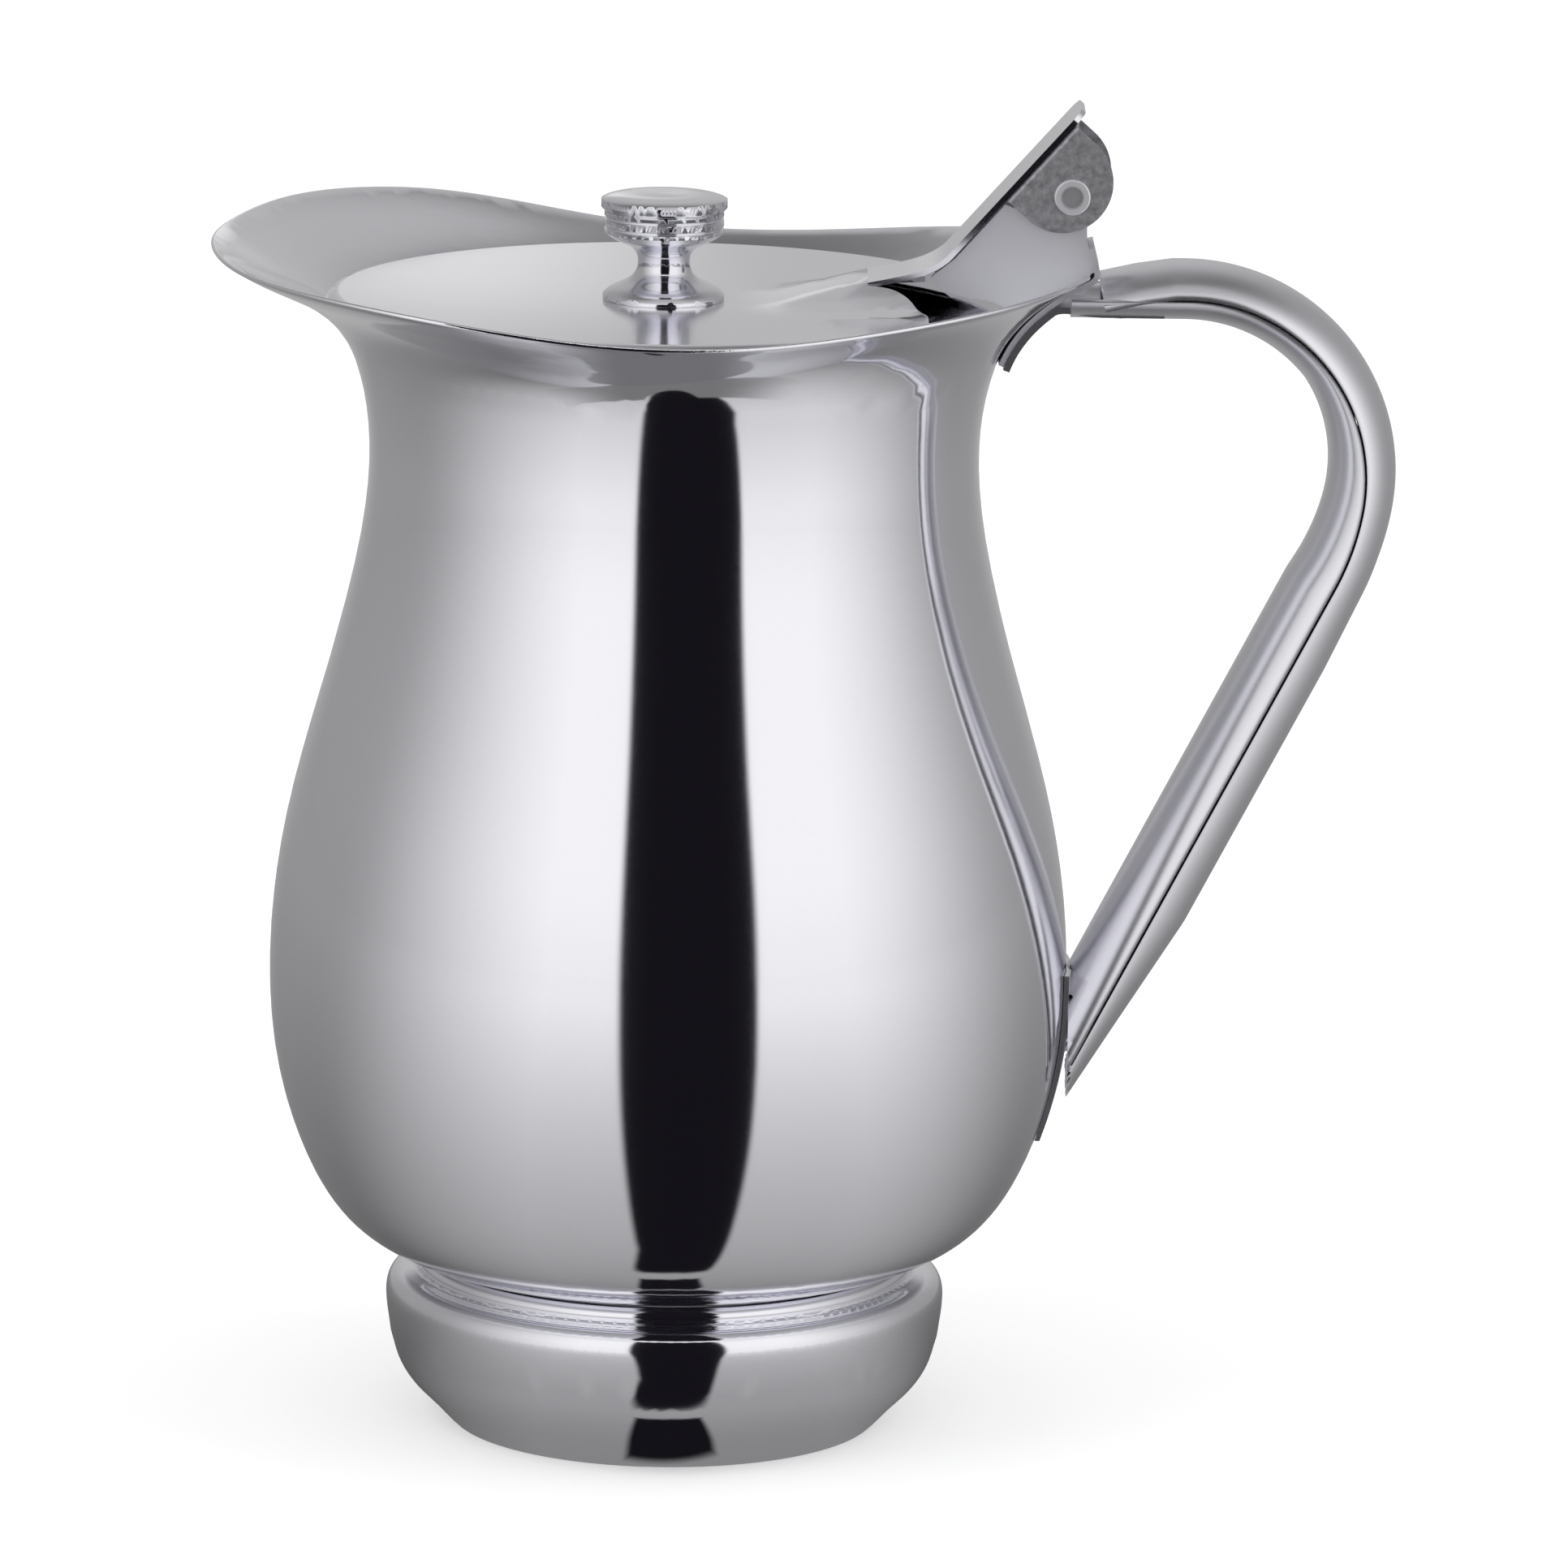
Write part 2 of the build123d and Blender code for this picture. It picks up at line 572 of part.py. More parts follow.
def cheek_face():
    """Side-view outline of a bracket cheek, seated inside the flare."""
    inner = rear_flare(cheek_width() / 2)[1]
    seat = parallel(piece(inner, *CHEEK_SEAT), -SEAT_GAP)
    toe = side(CHEEK_TOE)
    under = lever_point(LEVER_BEND_END, CHEEK_LEVER_GAP)
    shoulder = lever_point(CHEEK_SHOULDER, CHEEK_LEVER_GAP)
    pin = side((PIN_X, PIN_Z))
    up = left_of(side(direction(LEVER_ANGLE)))
    crown = pin + up * CHEEK_ROUND
    nose = pin + side(direction(CHEEK_NOSE_ANGLE)) * CHEEK_ROUND
    middle = pin + side(direction((LEVER_ANGLE + 90 + CHEEK_NOSE_ANGLE) / 2)) * CHEEK_ROUND
    front = Spline([seat @ 1] + [side(point) for point in reversed(CHEEK_FRONT)] + [toe])
    web = Line(side(WEB_TOP), side(WEB_LOW))
    back = Spline([nose, side(WEB_TOP)], tangents=[side(direction(CHEEK_NOSE_SLOPE)), web % 0])
    step = lever_point(*CHEEK_STEP)
    top = Polyline(toe, under, shoulder, step, crown)
    return section(*top.edges(), ThreePointArc(crown, middle, nose), back, web, Line(side(WEB_LOW), seat @ 0),
                   seat, front)


def hinge_bracket():
    """Fixed bracket: cheeks, rear web and the tab that wraps under the flare."""
    outer = rear_flare(0)[0]
    follow = parallel(piece(outer, TAB_START, TAB_END), SEAT_GAP)
    wrap = Spline([side(WEB_LOW), follow @ 0],
                  tangents=[(side(WEB_LOW) - side(WEB_TOP)).normalized(), follow % 0])
    web = Line(side(WEB_TOP), side(WEB_LOW))
    tab = strip([web, wrap, follow], TAB_SHEET, cheek_width())
    cheeks = across(cheek_face(), cheek_width())
    cheeks -= Pos(0, 0, FAR) * Box(2 * FAR, cheek_width() - 2 * HINGE_SHEET, 2 * FAR)
    return cheeks + tab - cross_bore(PIN_X, PIN_Z, PIN_RADIUS + PIN_RUNNING_GAP, FAR)


def strap_arc(centre, radius, start, end):
    """Arc of the seam about a side-view centre, between two angles from +X."""
    angles = (start, (start + end) / 2, end)
    return ThreePointArc(*(centre + side(direction(angle)) * radius for angle in angles))


def seam_parts():
    """The seam after its straight top: shoulder, bend, side, grip and taper."""
    centre = side((STRAP_TOP_CENTRE_X, STRAP_TOP_Z - STRAP_TOP_RADIUS))
    shoulder = strap_arc(centre, STRAP_TOP_RADIUS, 90, STRAP_SHOULDER_ANGLE)
    bend = strap_arc(centre, STRAP_TOP_RADIUS, STRAP_SHOULDER_ANGLE, -STRAP_SIDE_START)
    side_centre = centre + side(direction(-STRAP_SIDE_START)) * (STRAP_TOP_RADIUS - STRAP_SIDE_RADIUS)
    flank = strap_arc(side_centre, STRAP_SIDE_RADIUS, -STRAP_SIDE_START, STRAP_RUN_SLOPE - 90)
    down = side(direction(STRAP_RUN_SLOPE)) * -1
    grip = Line(flank @ 1, flank @ 1 + down * STRAP_GRIP_LENGTH)
    taper = Line(grip @ 1, grip @ 1 + down * STRAP_TAPER_LENGTH)
    return shoulder, bend, flank, grip, taper


def crown_edges(half, foot, rise, corner, bulge):
    """Leg, corner, crown, corner and leg of a channel's outline, drawn from left to right."""
    shoulder = rise - bulge
    bend = corner * (1 - math.sqrt(0.5))
    left = ThreePointArc((-half, shoulder - corner), (bend - half, shoulder - bend), (corner - half, shoulder))
    right = ThreePointArc((half - corner, shoulder), (half - bend, shoulder - bend), (half, shoulder - corner))
    return [Line((-half, foot), left @ 0), left, ThreePointArc(left @ 1, (0, rise), right @ 0), right,
            Line(right @ 1, (half, foot))]


def channel_wire(rise, corner, bulge, nested):
    """Section of one pressed channel, open towards the seam; a nested one has joggled legs."""
    half = STRAP_WIDTH / 2
    wall = half - HANDLE_SHEET
    nest = wall - SEAT_GAP
    foot = STRAP_SEAM_GAP / 2
    inner_foot = STRAP_NEST_ROOT + HANDLE_SHEET if nested else foot
    edges = crown_edges(half, foot, rise, corner, bulge)
    edges += crown_edges(wall, inner_foot, rise - HANDLE_SHEET, corner - HANDLE_SHEET, bulge)
    for way in (-1, 1):
        points = [(way * half, foot), (way * wall, foot)]
        if nested:
            points = [(way * half, foot), (way * nest, foot), (way * nest, -STRAP_NEST),
                      (way * (nest - HANDLE_SHEET), -STRAP_NEST),
                      (way * (nest - HANDLE_SHEET), STRAP_NEST_ROOT), (way * wall, inner_foot)]
        edges += Polyline(*points).edges()
    return Wire(edges)


def gentle(share):
    """Change that starts and ends slowly."""
    return share * share * (3 - 2 * share)


def late(share):
    """Change that grows towards its end."""
    return share * share


def strap_piece(edge, first, last, nested, pace=gentle):
    """Channel lofted along one part of the seam, from one section to another."""
    wires = []
    for index in range(STRAP_STEPS + 1):
        place = index / STRAP_STEPS
        change = pace(place)
        sizes = [start + (end - start) * change for start, end in zip(first, last)]
        plane = Plane(origin=edge @ place, x_dir=(0, -1 if nested else 1, 0), z_dir=edge % place)
        wires.append(plane * channel_wire(*sizes, nested))
    return Solid.make_loft(wires)


def lower_end_cut():
    """Space of the pot and its lower plate, with the flat cut of the handle's lower end."""
    outer = parallel(belly_curve(), -(2 * SEAT_GAP + LOWER_PLATE_SHEET))
    low, high = (0, 0, (outer @ 0).Z), (0, 0, (outer @ 1).Z)
    pot = revolve(section(outer, Line(outer @ 1, high), Line(high, low), Line(low, outer @ 0)), Axis.Z, 360)
    whole = pot + Pos(STRAP_CUT_X - FAR / 2, 0, LOWER_PLATE_TOP - FAR / 2) * Box(FAR, FAR, FAR)
    return whole & Pos(STRAP_CUT_X, 0, LOWER_PLATE_TOP) * Box(*LOWER_END_BLOCK)


def dipped_seam():
    """Top end of the handle's seam, which dips towards the bracket."""
    points = [side(point) for point in STRAP_DIP] + [side((STRAP_DIP_END_X, STRAP_TOP_Z))]
    ahead = (points[1] - points[0]).normalized()
    return Spline(points, tangents=[ahead, (1, 0, 0)])


def handle_outer_shell():
    """Outer channel of the handle, with an open mouth at its top end."""
    shoulder, bend, flank, grip, taper = seam_parts()
    dip = dipped_seam()
    level = Line(dip @ 1, shoulder @ 0)
    pieces = [strap_piece(part, OUTER_TOP, OUTER_TOP, False) for part in (dip, level, shoulder, bend)]
    pieces += [strap_piece(flank, OUTER_TOP, OUTER_GRIP, False), strap_piece(grip, OUTER_GRIP, OUTER_GRIP, False),
               strap_piece(taper, OUTER_GRIP, OUTER_TIP, False, late)]
    low_z = STRAP_TOP_Z - STRAP_TOP_RADIUS
    mouth = outline([(0, low_z), (STRAP_MOUTH_X, low_z), (STRAP_MOUTH_X, STRAP_MOUTH_Z),
                     (STRAP_CROWN_END_X, STRAP_MOUTH_Z), (STRAP_CROWN_END_X, FAR + low_z), (0, FAR + low_z)])
    return pieces[0].fuse(*pieces[1:]) - lower_end_cut() - across(mouth, FAR)


def handle_inner_shell():
    """Inner channel of the handle, deeper at the grip, with legs that nest in the outer one."""
    top = Line((STRAP_LIP_X, 0, STRAP_TOP_Z), (STRAP_TOP_CENTRE_X, 0, STRAP_TOP_Z))
    sections = [INNER_TOP, INNER_TOP, INNER_SHOULDER, INNER_BEND, INNER_GRIP, INNER_GRIP, INNER_END]
    parts = zip((top, *seam_parts()), sections, sections[1:])
    pieces = [strap_piece(part, first, last, True) for part, first, last in parts]
    dip = parallel(dipped_seam(), -STRAP_SEAM_GAP / 2)
    low = Vector(0, 0, (dip @ 0).Z)
    border = Polyline(dip @ 1, dip @ 1 + Vector(0, 0, FAR), low + Vector(0, 0, FAR), low, dip @ 0)
    above = across(Face(Wire([dip, *border.edges()])), FAR)
    hole = bore(RIVET_X, STRAP_TOP_Z - STRAP_TOP_RADIUS, STRAP_TOP_Z, RIVET_RADIUS + PIN_TIGHT_GAP)
    return pieces[0].fuse(*pieces[1:]) - lower_end_cut() - above - hole


def top_plate_z():
    """Top face of the plate inside the handle."""
    return STRAP_TOP_Z - INNER_TOP[0] + HANDLE_SHEET + SEAT_GAP + TOP_PLATE_SHEET


def handle_top_plate():
    """Plate under the flare that reaches into the handle's mouth."""
    outer = rear_flare(0)[0]
    drop = 2 * SEAT_GAP + TAB_SHEET
    follow = parallel(piece(outer, TOP_PLATE_START, TOP_PLATE_LEAVE), -drop)
    knee = side((TOP_PLATE_FLAT_X, top_plate_z()))
    bend = Spline([follow @ 1, knee], tangents=[follow % 1, (1, 0, 0)])
    flat = Line(knee, side((TOP_PLATE_END_X, top_plate_z())))
    plate = strip([follow, bend, flat], -TOP_PLATE_SHEET, TOP_PLATE_WIDTH)
    return plate - bore(RIVET_X, 0, 2 * FAR, RIVET_RADIUS + PIN_TIGHT_GAP)


def handle_top_rivet():
    """Round-headed rivet through the top plate and the inner channel."""
    seat = top_plate_z() + SEAT_GAP / 2
    head = bore(RIVET_X, seat, seat + RIVET_HEAD_HEIGHT, RIVET_HEAD_RADIUS)
    rim = head.edges().filter_by(GeomType.CIRCLE).sort_by(Axis.Z)[-1]
    return fillet(rim, RIVET_HEAD_ROUND) + bore(RIVET_X, STRAP_TOP_Z - INNER_TOP[0], seat + FUSE_REACH, RIVET_RADIUS)


def handle_lower_plate():
    """Plate fixed to the belly, where the handle's lower end stands."""
    belly = belly_curve()
    near, far = parallel(belly, -SEAT_GAP), parallel(belly, -SEAT_GAP - LOWER_PLATE_SHEET)
    band = section(near, Line(near @ 1, far @ 1), far, Line(far @ 0, near @ 0))
    angle = 2 * math.degrees(math.asin(LOWER_PLATE_WIDTH / 2 / BELLY_POINTS[2][0]))
    sector = Rot(0, 0, -angle / 2) * revolve(band, Axis.Z, angle)
    height = LOWER_PLATE_TOP - LOWER_PLATE_BOTTOM
    return sector & Pos(0, 0, LOWER_PLATE_BOTTOM + height / 2) * Box(2 * FAR, 2 * FAR, height)


PIECES = [jug_body, foot_ring, lid, lid_knob, knob_screw, knob_washer, hinge_saddle, hinge_pin,
          hinge_bracket, handle_outer_shell, handle_inner_shell, handle_top_plate, handle_top_rivet,
          handle_lower_plate]

for make in PIECES:
    export_step(make(), f"parts/{make.__name__}.step")
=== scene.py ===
import math

import bpy
import numpy as np
from mathutils import Matrix, Vector


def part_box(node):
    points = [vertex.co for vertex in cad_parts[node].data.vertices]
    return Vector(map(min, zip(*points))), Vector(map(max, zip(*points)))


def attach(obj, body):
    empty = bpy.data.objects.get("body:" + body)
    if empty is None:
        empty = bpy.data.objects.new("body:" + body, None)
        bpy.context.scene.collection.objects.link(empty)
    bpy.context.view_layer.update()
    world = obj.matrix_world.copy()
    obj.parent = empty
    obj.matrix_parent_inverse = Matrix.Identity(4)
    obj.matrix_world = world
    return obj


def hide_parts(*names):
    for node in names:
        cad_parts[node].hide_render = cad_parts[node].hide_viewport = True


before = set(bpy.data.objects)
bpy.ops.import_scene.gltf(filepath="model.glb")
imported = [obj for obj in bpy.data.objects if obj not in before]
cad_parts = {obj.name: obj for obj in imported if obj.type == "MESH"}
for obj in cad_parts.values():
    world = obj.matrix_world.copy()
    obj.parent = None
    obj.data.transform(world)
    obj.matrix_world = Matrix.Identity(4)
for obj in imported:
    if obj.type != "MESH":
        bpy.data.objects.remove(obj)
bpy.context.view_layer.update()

# Camera: its place, its tilt and its angle of view, in metres and degrees
CAMERA_PLACE = (0.0207, -1.996, 0.527)
CAMERA_PITCH = 11.566
CAMERA_ROLL = 0.80
CAMERA_ANGLE = 8.021

# Studio: a round light tent with a dark card in front, a pale floor and two soft lamps
TENT_RADIUS = 4.0
TENT_SEGMENTS = 96
TENT_RINGS = 48
FLOOR_SIZE = 30.0
FLOOR_SHADE = 0.92
FLOOR_LIFT = 0.36
WORLD_LEVEL = 0.70
LAMP_SIZE = 1.6
LAMP_AIM = (0.0, 0.0, 0.1)
# Each lamp's name, place and power
LAMPS = [
    ("left_lamp", (-1.6, -1.2, 2.0), 12.0),
    ("right_lamp", (1.8, -0.6, 1.8), 9.0),
]

# Dark card: its side edges by compass angle, and its upper edge by height angle
CARD_LEFT = -13.1
CARD_RIGHT = 25.8
CARD_TOP = 46.0
CARD_SOFTNESS = 1.2
DARK_SHADE = (0.0075, 0.0068, 0.0095)

# Dark runner from the card to the jug, on the floor: spread and shift of its two sides
RUNNER_LEFT_SPREAD = 0.235
RUNNER_LEFT_SHIFT = 0.010
RUNNER_RIGHT_SPREAD = 0.488
RUNNER_RIGHT_SHIFT = -0.016
RUNNER_NEAR_SIDES = (-0.009, 0.013)
RUNNER_END = 0.062
RUNNER_ROUNDING = 0.10
RUNNER_END_STEEPNESS = 15.0
RUNNER_SOFTNESS = 0.02
RUNNER_LEAST_AHEAD = 0.001

# Dark patch between the runner and the foot
PATCH_MIDDLE = (0.002, -0.048)
PATCH_HALF = (0.0085, 0.008)
PATCH_SOFTNESS = 0.001

# Brightness of the tent's wall in front, and its smooth changes, each between two compass angles
WALL_FRONT = 1.10
WALL_LEFT_STEPS = [(10, 64, -0.24), (42, 108, -0.51), (149, 173, 0.16)]
WALL_RIGHT_STEPS = [(0, 60, -0.08), (45, 126, -0.67), (149, 173, 0.16)]
WALL_TURNS = range(6, 180, 12)
# Share of that brightness on the floor at the jug, kept low as a painted shadow of the jug, and its change by
# the distance, in powers of ten of a metre
FLOOR_AT_JUG = 0.09
FLOOR_STEPS = [(-1.99, 0.17, 0.83)]
FLOOR_POWERS = (-1.4, 0.6)
FLOOR_PARTS = 16
# Share left at the foot of the wall, and its changes by the height angle above the floor
WALL_FOOT = 0.92
WALL_UP_STEPS = [(-3, 14, 0.08), (37, 64, -0.37), (43, 83, -0.18)]
WALL_HEIGHTS = range(0, 91, 6)

# Soft bright patch on a card behind the jug, which the lid mirrors
GLOW_PLACE = 0.6
GLOW_SIZE = 0.5
GLOW_MIDDLE = (-0.055, 0.345)
GLOW_REACH = (0.075, 0.10)
GLOW_LEVEL = 0.85

# Small grey card under the rim, seen only from above, which rounds off the dark stripe on the neck
NECK_CARD_HEIGHT = 0.155
NECK_CARD_HALF = 0.055
NECK_CARD_NEAR = -0.056
NECK_CARD_FAR = -0.085
NECK_CARD_EDGE = 0.0670
NECK_CARD_CURVE = 94.0
NECK_CARD_LIMIT = 0.0765
NECK_CARD_FADE = (0.014, 0.050)
NECK_CARD_SOFTNESS = 0.0004
NECK_CARD_SHADE = 0.19

# Steel: its tint, and the noises that make its fine hairlines and its slow change of shine
STEEL_TINT = (0.985, 0.982, 1.032)
HAIR_DETAIL = 3.0
HAIR_ROUGHNESS = 0.6
CLOUD_SIZE = 22.0
CLOUD_DETAIL = 2.0
SHINE_CHANGE = 0.02

# Turned pieces: the node, its new name, its body, its middle in X and the height up to which it is round
TURNED_PIECES = [
    ("jug_body", "pot", "jug", 0.0, 0.1965),
    ("foot_ring", "foot", "jug", 0.0, 0.032),
    ("lid_knob", "knob", "lid", -0.0023, 0.3),
]
MERGE_DISTANCE = 0.000001
EDGE_ANGLE = 35.0
AXIS_REACH = 0.0009
BELLY_LOW = 0.040
BELLY_STEP = 0.001

# Pin: reach and softness of the painted dark reflection in the middle of its heads, and the two tints
PIN_MIDDLE = 0.0020
PIN_BLUR = 0.0004
PIN_PAINTED_REFLECTION = (0.52, 0.52, 0.545, 1.0)
PIN_LIGHT = (0.97, 0.967, 1.0, 1.0)

# Handle: the seam between its two pressed halves, in the side view
SEAM_DIP = [(0.0774, 0.2079), (0.0840, 0.2094), (0.0900, 0.2103)]
SEAM_LIP_X = 0.0712
SEAM_TOP_MIDDLE = (0.0920, 0.1775)
SEAM_TOP_RADIUS = 0.0328
SEAM_SIDE_RADIUS = 0.0483
SEAM_SIDE_START = -10.0
SEAM_SIDE_END = -27.4
SEAM_RUN = 0.108
SEAM_CUT_X = 0.0730
SEAM_GAP = 0.0004
STRAP_HALF = 0.0115
STRAP_WALL = 0.0009
STRAP_AROUND = 36
STRAP_STEP = 0.001
STRAP_ROUNDING = 1.25
# Depth of each half by the length along its seam, in metres
OUTER_DEPTHS = [(0.0, 0.00588), (0.080, 0.00588), (0.102, 0.00668), (0.155, 0.00668), (0.208, 0.0019)]
INNER_DEPTHS = [(0.0, 0.0047), (0.050, 0.0048), (0.075, 0.0068), (0.095, 0.0083), (0.230, 0.0080)]


def smooth_steps(place, level, steps):
    """Level at a place: the first level and every change that the place has passed, each with soft ends."""
    for start, end, change in steps:
        part = min(max((place - start) / (end - start), 0.0), 1.0)
        level += change * part * part * (3.0 - 2.0 * part)
    return level


def smooth_ramp(tree, stops, low, high):
    """Colour ramp node with grey stops given as (place, level) over a range of places."""
    ramp = tree.nodes.new("ShaderNodeValToRGB")
    ramp.color_ramp.interpolation = "B_SPLINE"
    elements = ramp.color_ramp.elements
    while len(elements) > 1:
        elements.remove(elements[-1])
    for index, (stop, level) in enumerate(stops):
        place = (stop - low) / (high - low)
        element = elements[0] if index == 0 else elements.new(place)
        element.position = place
        element.color = (level, level, level, 1.0)
    return ramp


def math_node(tree, operation, *inputs, clamp=False):
    """Math node with its inputs linked or set, returning its output."""
    node = tree.nodes.new("ShaderNodeMath")
    node.operation = operation
    node.use_clamp = clamp
    for socket, value in zip(node.inputs, inputs):
        if isinstance(value, (int, float)):
            socket.default_value = value
        else:
            tree.links.new(value, socket)
    return node.outputs[0]


def map_range(tree, value, from_low, from_high, to_low=0.0, to_high=1.0):
    """Smooth step of a value from one range to another."""
    node = tree.nodes.new("ShaderNodeMapRange")
    node.interpolation_type = "SMOOTHSTEP"
    tree.links.new(value, node.inputs["Value"])
    node.inputs["From Min"].default_value = from_low
    node.inputs["From Max"].default_value = from_high
    node.inputs["To Min"].default_value = to_low
    node.inputs["To Max"].default_value = to_high
    return node.outputs["Result"]


def squared_reach(tree, across, along):
    """Square of the distance that two steps at right angles make."""
    squares = [math_node(tree, "MULTIPLY", step, step) for step in (across, along)]
    return math_node(tree, "ADD", *squares)


def add_camera():
    """Camera at the photograph's angle."""
    data = bpy.data.cameras.new("camera")
    camera = bpy.data.objects.new("camera", data)
    bpy.context.scene.collection.objects.link(camera)
    data.angle = math.radians(CAMERA_ANGLE)
    tilt = Matrix.Rotation(math.radians(90 - CAMERA_PITCH), 4, "X")
    roll = Matrix.Rotation(math.radians(CAMERA_ROLL), 4, "Z")
    camera.matrix_world = Matrix.Translation(CAMERA_PLACE) @ tilt @ roll
    bpy.context.scene.camera = camera


def add_world():
    """White background for camera, mirror and glass rays, and a plain level for the rest."""
    world = bpy.data.worlds.new("studio")
    bpy.context.scene.world = world
    world.use_nodes = True
    tree = world.node_tree
    background = tree.nodes["Background"]
    background.inputs["Color"].default_value = (1.0, 1.0, 1.0, 1.0)
    path = tree.nodes.new("ShaderNodeLightPath")
    seen = math_node(tree, "MAXIMUM", path.outputs["Is Camera Ray"], path.outputs["Is Glossy Ray"])
    seen = math_node(tree, "MAXIMUM", seen, path.outputs["Is Transmission Ray"])
    extra = math_node(tree, "MULTIPLY", seen, 1.0 - WORLD_LEVEL)
    strength = math_node(tree, "ADD", extra, WORLD_LEVEL)
    tree.links.new(strength, background.inputs["Strength"])


def around_ramp(tree, x, y):
    """Brightness of the wall by the compass angle of a place."""
    backwards = math_node(tree, "MULTIPLY", y, -1.0)
    angle = math_node(tree, "MULTIPLY", math_node(tree, "ARCTAN2", x, backwards), 180 / math.pi)
    stops = [(-turn, smooth_steps(turn, WALL_FRONT, WALL_LEFT_STEPS)) for turn in reversed(WALL_TURNS)]
    stops += [(turn, smooth_steps(turn, WALL_FRONT, WALL_RIGHT_STEPS)) for turn in WALL_TURNS]
    share = math_node(tree, "DIVIDE", math_node(tree, "ADD", angle, 180.0), 360.0)
    ramp = smooth_ramp(tree, stops, -180, 180)
    tree.links.new(share, ramp.inputs["Fac"])
    return angle, ramp.outputs["Color"]


def place_axes(tree):
    """The three coordinates of a piece's surface."""
    place = tree.nodes.new("ShaderNodeTexCoord")
    split = tree.nodes.new("ShaderNodeSeparateXYZ")
    tree.links.new(place.outputs["Object"], split.inputs[0])
    return split.outputs


def glowing_material(name):
    """Empty material and its tree for a stage piece that shines by itself."""
    material = bpy.data.materials.new(name)
    material.use_nodes = True
    material.node_tree.nodes.clear()
    return material, material.node_tree


def glow_with_dark(tree, level, dark):
    """Emission at a level, turned to the dark shade where the mask is one."""
    mix = tree.nodes.new("ShaderNodeMix")
    mix.data_type = "RGBA"
    tree.links.new(dark, mix.inputs[0])
    tree.links.new(level, mix.inputs[6])
    mix.inputs[7].default_value = (*DARK_SHADE, 1.0)
    emission = tree.nodes.new("ShaderNodeEmission")
    tree.links.new(mix.outputs[2], emission.inputs["Color"])
    output = tree.nodes.new("ShaderNodeOutputMaterial")
    tree.links.new(emission.outputs[0], output.inputs["Surface"])


def fading_glow(tree, share, level):
    """Emission at a level where the share is one, fading to clear where it is nothing."""
    emission = tree.nodes.new("ShaderNodeEmission")
    emission.inputs["Strength"].default_value = level
    clear = tree.nodes.new("ShaderNodeBsdfTransparent")
    mix = tree.nodes.new("ShaderNodeMixShader")
    tree.links.new(share, mix.inputs[0])
    tree.links.new(clear.outputs[0], mix.inputs[1])
    tree.links.new(emission.outputs[0], mix.inputs[2])
    output = tree.nodes.new("ShaderNodeOutputMaterial")
    tree.links.new(mix.outputs[0], output.inputs["Surface"])


def tent_material():
    """Tent wall: soft white beside the camera, grey round the back, with the dark card."""
    material, tree = glowing_material("tent_wall")
    x, y, z = place_axes(tree)
    angle, wall = around_ramp(tree, x, y)
    height = math_node(tree, "ARCSINE", math_node(tree, "DIVIDE", z, TENT_RADIUS))
    height = math_node(tree, "MULTIPLY", height, 180 / math.pi)
    left = map_range(tree, angle, CARD_LEFT - CARD_SOFTNESS, CARD_LEFT + CARD_SOFTNESS)
    right = map_range(tree, angle, CARD_RIGHT - CARD_SOFTNESS, CARD_RIGHT + CARD_SOFTNESS, 1.0, 0.0)
    top = map_range(tree, height, CARD_TOP - CARD_SOFTNESS, CARD_TOP + CARD_SOFTNESS, 1.0, 0.0)
    dark = math_node(tree, "MULTIPLY", math_node(tree, "MULTIPLY", left, right), top)
    stops = [(angle_up, smooth_steps(angle_up, WALL_FOOT, WALL_UP_STEPS)) for angle_up in WALL_HEIGHTS]
    upward = smooth_ramp(tree, stops, 0, 90)
    tree.links.new(math_node(tree, "DIVIDE", height, 90.0), upward.inputs["Fac"])
    glow_with_dark(tree, math_node(tree, "MULTIPLY", wall, upward.outputs["Color"]), dark)
    return material


def floor_level(tree, x, y):
    """Brightness of the floor, which falls towards the jug as a painted shadow of the jug."""
    _, wall = around_ramp(tree, x, y)
    power = math_node(tree, "MULTIPLY", math_node(tree, "LOGARITHM", squared_reach(tree, x, y), 10.0), 0.5)
    low, high = FLOOR_POWERS
    places = [low + (high - low) * part / FLOOR_PARTS for part in range(FLOOR_PARTS + 1)]
    stops = [(place, smooth_steps(place, FLOOR_AT_JUG, FLOOR_STEPS)) for place in places]
    share = math_node(tree, "DIVIDE", math_node(tree, "SUBTRACT", power, low), high - low)
    outward = smooth_ramp(tree, stops, low, high)
    tree.links.new(share, outward.inputs["Fac"])
    return math_node(tree, "MULTIPLY", wall, outward.outputs["Color"])


def runner_mask(tree, x, y):
    """One on the dark runner, which narrows towards the jug and ends rounded."""
    ahead = math_node(tree, "MAXIMUM", math_node(tree, "MULTIPLY", y, -1.0), RUNNER_LEAST_AHEAD)
    left = math_node(tree, "MULTIPLY_ADD", ahead, -RUNNER_LEFT_SPREAD, RUNNER_LEFT_SHIFT)
    left = math_node(tree, "MINIMUM", left, RUNNER_NEAR_SIDES[0])
    left = math_node(tree, "DIVIDE", math_node(tree, "SUBTRACT", x, left), ahead)
    right = math_node(tree, "MULTIPLY_ADD", ahead, RUNNER_RIGHT_SPREAD, RUNNER_RIGHT_SHIFT)
    right = math_node(tree, "MAXIMUM", right, RUNNER_NEAR_SIDES[1])
    right = math_node(tree, "DIVIDE", math_node(tree, "SUBTRACT", right, x), ahead)
    near = math_node(tree, "SUBTRACT", ahead, RUNNER_END)
    near = math_node(tree, "MULTIPLY", near, RUNNER_END_STEEPNESS)
    sides = math_node(tree, "MINIMUM", left, right)
    inside = math_node(tree, "SMOOTH_MIN", sides, near, RUNNER_ROUNDING)
    return map_range(tree, inside, -RUNNER_SOFTNESS, RUNNER_SOFTNESS)


